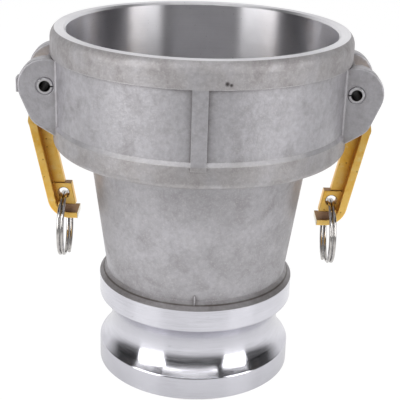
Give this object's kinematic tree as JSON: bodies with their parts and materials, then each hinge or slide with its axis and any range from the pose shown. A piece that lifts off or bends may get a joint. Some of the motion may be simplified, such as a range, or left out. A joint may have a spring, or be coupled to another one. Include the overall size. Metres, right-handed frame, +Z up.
{
  "type": "cam and groove reducer",
  "caption": "Cast reducer that joins a larger grooved adapter, held by cam arms over a gasket, to a smaller grooved male end on one axis.",
  "frame": {"origin": "middle of the male end's bottom face, on which the reducer stands", "axes": "+Z up along the waterway towards the socket's mouth, the cam arms on +X and -X, their pins along Y"},
  "size_m": [0.1593, 0.134, 0.162],
  "materials": {
    "cast_aluminium": "as cast, with machined socket, rim and male end",
    "gasket_rubber": "moulded nitrile rubber",
    "pin_steel": "bright spring steel",
    "arm_brass": "tumbled brass",
    "ring_steel": "plated wire"
  },
  "bodies": {
    "body": {"reducer_body": "cast_aluminium", "gasket": "gasket_rubber", "left_pivot_pin": "pin_steel", "right_pivot_pin": "pin_steel"},
    "left_arm": {"left_cam_arm": "arm_brass"},
    "right_arm": {"right_cam_arm": "arm_brass"},
    "left_ring": {"left_pull_ring": "ring_steel"},
    "right_ring": {"right_pull_ring": "ring_steel"}
  },
  "joints": [
    {"name": "left_arm_hinge", "type": "hinge", "parent": "body", "child": "left_arm", "pos_m": [-0.06735, 0, 0.13825], "axis": [0, 1, 0], "range_deg": [0, 105]},
    {"name": "right_arm_hinge", "type": "hinge", "parent": "body", "child": "right_arm", "pos_m": [0.06735, 0, 0.13825], "axis": [0, -1, 0], "range_deg": [0, 105]},
    {"name": "left_ring_swing", "type": "hinge", "parent": "left_arm", "child": "left_ring", "pos_m": [-0.06245, 0, 0.0828], "axis": [0, 1, 0], "range_deg": [-28, 50]},
    {"name": "right_ring_swing", "type": "hinge", "parent": "right_arm", "child": "right_ring", "pos_m": [0.06245, 0, 0.0828], "axis": [0, -1, 0], "range_deg": [-28, 50]}
  ]
}
